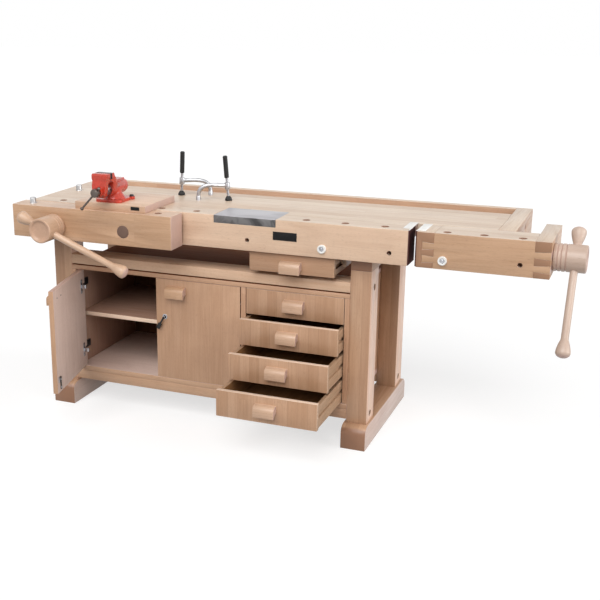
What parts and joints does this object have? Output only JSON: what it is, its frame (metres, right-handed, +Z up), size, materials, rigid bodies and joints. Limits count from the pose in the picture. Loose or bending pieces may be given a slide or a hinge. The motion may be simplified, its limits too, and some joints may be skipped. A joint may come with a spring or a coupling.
{
  "type": "woodworking bench",
  "caption": "Joiner's bench with a front vise, a tail vise, a tool tray, a cabinet of doors and drawers, an engineer's vise on a board and screw hold-downs.",
  "frame": {"origin": "middle of the bottom of the bounding box, on the floor", "axes": "+X along the bench to its tail vise on the right, +Y from the front to the back, +Z up"},
  "size_m": [2.2492, 0.949, 1.088],
  "materials": {
    "top_wood": "oiled light beech",
    "bench_wood": "oiled beech",
    "jaw_wood": "oiled beech, redder",
    "leg_wood": "oiled beech",
    "cabinet_wood": "oiled beech veneer",
    "turned_wood": "turned and waxed beech",
    "steel": "bright steel",
    "anvil_steel": "ground steel",
    "leather": "dark leather with a pale clip",
    "red_paint": "red gloss enamel",
    "black_grip": "black moulded grip on a steel screw"
  },
  "bodies": {
    "bench": {"bench_top": "top_wood", "front_apron": "bench_wood", "right_end_cap": "bench_wood", "tool_tray": "bench_wood", "front_vise_nut": "bench_wood", "tail_vise_nut": "bench_wood", "vise_board": "bench_wood", "left_foot": "leg_wood", "right_foot": "leg_wood", "left_front_leg": "leg_wood", "left_back_leg": "leg_wood", "right_front_leg": "leg_wood", "right_back_leg": "leg_wood", "left_bearer": "leg_wood", "right_bearer": "leg_wood", "front_upper_stretcher": "leg_wood", "front_lower_stretcher": "leg_wood", "rear_lower_stretcher": "leg_wood", "cabinet_bottom": "cabinet_wood", "cabinet_top": "cabinet_wood", "cabinet_left_side": "cabinet_wood", "cabinet_right_side": "cabinet_wood", "cabinet_divider": "cabinet_wood", "cabinet_back": "cabinet_wood", "cabinet_shelf": "cabinet_wood", "left_door_upper_hinge": "steel", "left_door_lower_hinge": "steel", "right_door_upper_hinge": "steel", "right_door_lower_hinge": "steel", "anvil_plate": "anvil_steel", "fixed_jaw_pad": "leather", "engineers_vise_body": "red_paint"},
    "front_vise": {"front_vise_jaw": "jaw_wood", "front_vise_guide_bar": "leg_wood"},
    "front_screw": {"front_vise_screw": "turned_wood"},
    "front_handle": {"front_vise_handle": "turned_wood"},
    "tail_vise": {"tail_vise_front": "bench_wood", "tail_vise_jaw": "jaw_wood", "tail_vise_arm": "jaw_wood", "tail_vise_guide_bar": "leg_wood", "moving_jaw_pad": "leather"},
    "tail_screw": {"tail_vise_screw": "turned_wood"},
    "tail_handle": {"tail_vise_handle": "turned_wood"},
    "left_door": {"left_door": "cabinet_wood"},
    "right_door": {"right_door": "cabinet_wood"},
    "door_key": {"door_key": "black_grip"},
    "drawer_1": {"drawer_1": "cabinet_wood"},
    "drawer_2": {"drawer_2": "cabinet_wood"},
    "drawer_3": {"drawer_3": "cabinet_wood"},
    "drawer_4": {"drawer_4": "cabinet_wood"},
    "under_bench_drawer": {"under_bench_drawer": "cabinet_wood"},
    "engineers_jaw": {"engineers_vise_jaw": "red_paint"},
    "engineers_spindle": {"engineers_vise_spindle": "steel"},
    "tommy_bar": {"engineers_vise_tommy_bar": "steel"},
    "left_hold_down": {"left_hold_down_arm": "steel"},
    "left_hold_down_screw": {"left_hold_down_screw": "black_grip"},
    "right_hold_down": {"right_hold_down_arm": "steel"},
    "right_hold_down_screw": {"right_hold_down_screw": "black_grip"},
    "chop_dog": {"chop_dog": "steel"},
    "top_dog": {"top_dog": "steel"}
  },
  "joints": [
    {"name": "front_vise_slide", "type": "slide", "parent": "bench", "child": "front_vise", "axis": [0, -1, 0], "range_m": [-0.0085, 0.15]},
    {"name": "front_screw_turn", "type": "hinge", "parent": "front_vise", "child": "front_screw", "pos_m": [-0.9236, -0.28716, 0.824], "axis": [0, -1, 0], "range_deg": [-260, 4505]},
    {"name": "front_handle_slide", "type": "slide", "parent": "front_screw", "child": "front_handle", "axis": [-0.9272, 0, 0.3746], "range_m": [0, 0.27]},
    {"name": "tail_vise_slide", "type": "slide", "parent": "bench", "child": "tail_vise", "axis": [1, 0, 0], "range_m": [-0.0232, 0.12]},
    {"name": "tail_screw_turn", "type": "hinge", "parent": "tail_vise", "child": "tail_screw", "pos_m": [1.0106, -0.09246, 0.832], "axis": [1, 0, 0], "range_deg": [-701, 3605]},
    {"name": "tail_handle_slide", "type": "slide", "parent": "tail_screw", "child": "tail_handle", "axis": [0, 0.506, 0.8625], "range_m": [0, 0.236]},
    {"name": "left_door_hinge", "type": "hinge", "parent": "bench", "child": "left_door", "pos_m": [-0.9194, -0.11646, 0.3866], "axis": [0, 0, -1], "range_deg": [-78, 12]},
    {"name": "right_door_hinge", "type": "hinge", "parent": "bench", "child": "right_door", "pos_m": [-0.1878, -0.11646, 0.3866], "axis": [0, 0, 1], "range_deg": [0, 90]},
    {"name": "door_key_turn", "type": "hinge", "parent": "right_door", "child": "door_key", "pos_m": [-0.5138, -0.12246, 0.44], "axis": [0, -1, 0], "range_deg": [0, 90]},
    {"name": "drawer_1_slide", "type": "slide", "parent": "bench", "child": "drawer_1", "axis": [0, -1, 0], "range_m": [0, 0.36]},
    {"name": "drawer_2_slide", "type": "slide", "parent": "bench", "child": "drawer_2", "axis": [0, -1, 0], "range_m": [-0.074, 0.286]},
    {"name": "drawer_3_slide", "type": "slide", "parent": "bench", "child": "drawer_3", "axis": [0, -1, 0], "range_m": [-0.188, 0.172]},
    {"name": "drawer_4_slide", "type": "slide", "parent": "bench", "child": "drawer_4", "axis": [0, -1, 0], "range_m": [-0.306, 0.054]},
    {"name": "under_bench_drawer_slide", "type": "slide", "parent": "bench", "child": "under_bench_drawer", "axis": [0, -1, 0], "range_m": [0, 0.22]},
    {"name": "engineers_jaw_slide", "type": "slide", "parent": "bench", "child": "engineers_jaw", "axis": [0, -1, 0], "range_m": [-0.0055, 0.07]},
    {"name": "engineers_spindle_turn", "type": "hinge", "parent": "engineers_jaw", "child": "engineers_spindle", "pos_m": [-0.6996, -0.33546, 0.9812], "axis": [0, -1, 0], "range_deg": [-401, 5046]},
    {"name": "tommy_bar_slide", "type": "slide", "parent": "engineers_spindle", "child": "tommy_bar", "axis": [0.6871, 0, 0.7266], "range_m": [0, 0.064]},
    {"name": "left_hold_down_swivel", "type": "hinge", "parent": "bench", "child": "left_hold_down", "pos_m": [-0.4486, 0.20554, 0.9], "axis": [0, 0, 1], "range_deg": [-90, 40]},
    {"name": "left_hold_down_feed", "type": "slide", "parent": "left_hold_down", "child": "left_hold_down_screw", "axis": [0.0323, 0.0132, 0.9994], "range_m": [0, 0.026]},
    {"name": "right_hold_down_swivel", "type": "hinge", "parent": "bench", "child": "right_hold_down", "pos_m": [-0.4486, 0.08054, 0.9], "axis": [0, 0, 1], "range_deg": [-60, 50]},
    {"name": "right_hold_down_feed", "type": "slide", "parent": "right_hold_down", "child": "right_hold_down_screw", "axis": [-0.0749, -0.0235, 0.9969], "range_m": [0, 0.026]},
    {"name": "chop_dog_lift", "type": "slide", "parent": "front_vise", "child": "chop_dog", "axis": [0, 0, 1], "range_m": [0, 0.04]},
    {"name": "top_dog_lift", "type": "slide", "parent": "bench", "child": "top_dog", "axis": [0, 0, 1], "range_m": [0, 0.04]}
  ],
  "couplings": [
    {"joint": "front_screw_turn", "follows": "front_vise_slide", "rad_per_m": 523.6},
    {"joint": "tail_screw_turn", "follows": "tail_vise_slide", "rad_per_m": 523.6},
    {"joint": "engineers_spindle_turn", "follows": "engineers_jaw_slide", "rad_per_m": 1256.6}
  ]
}
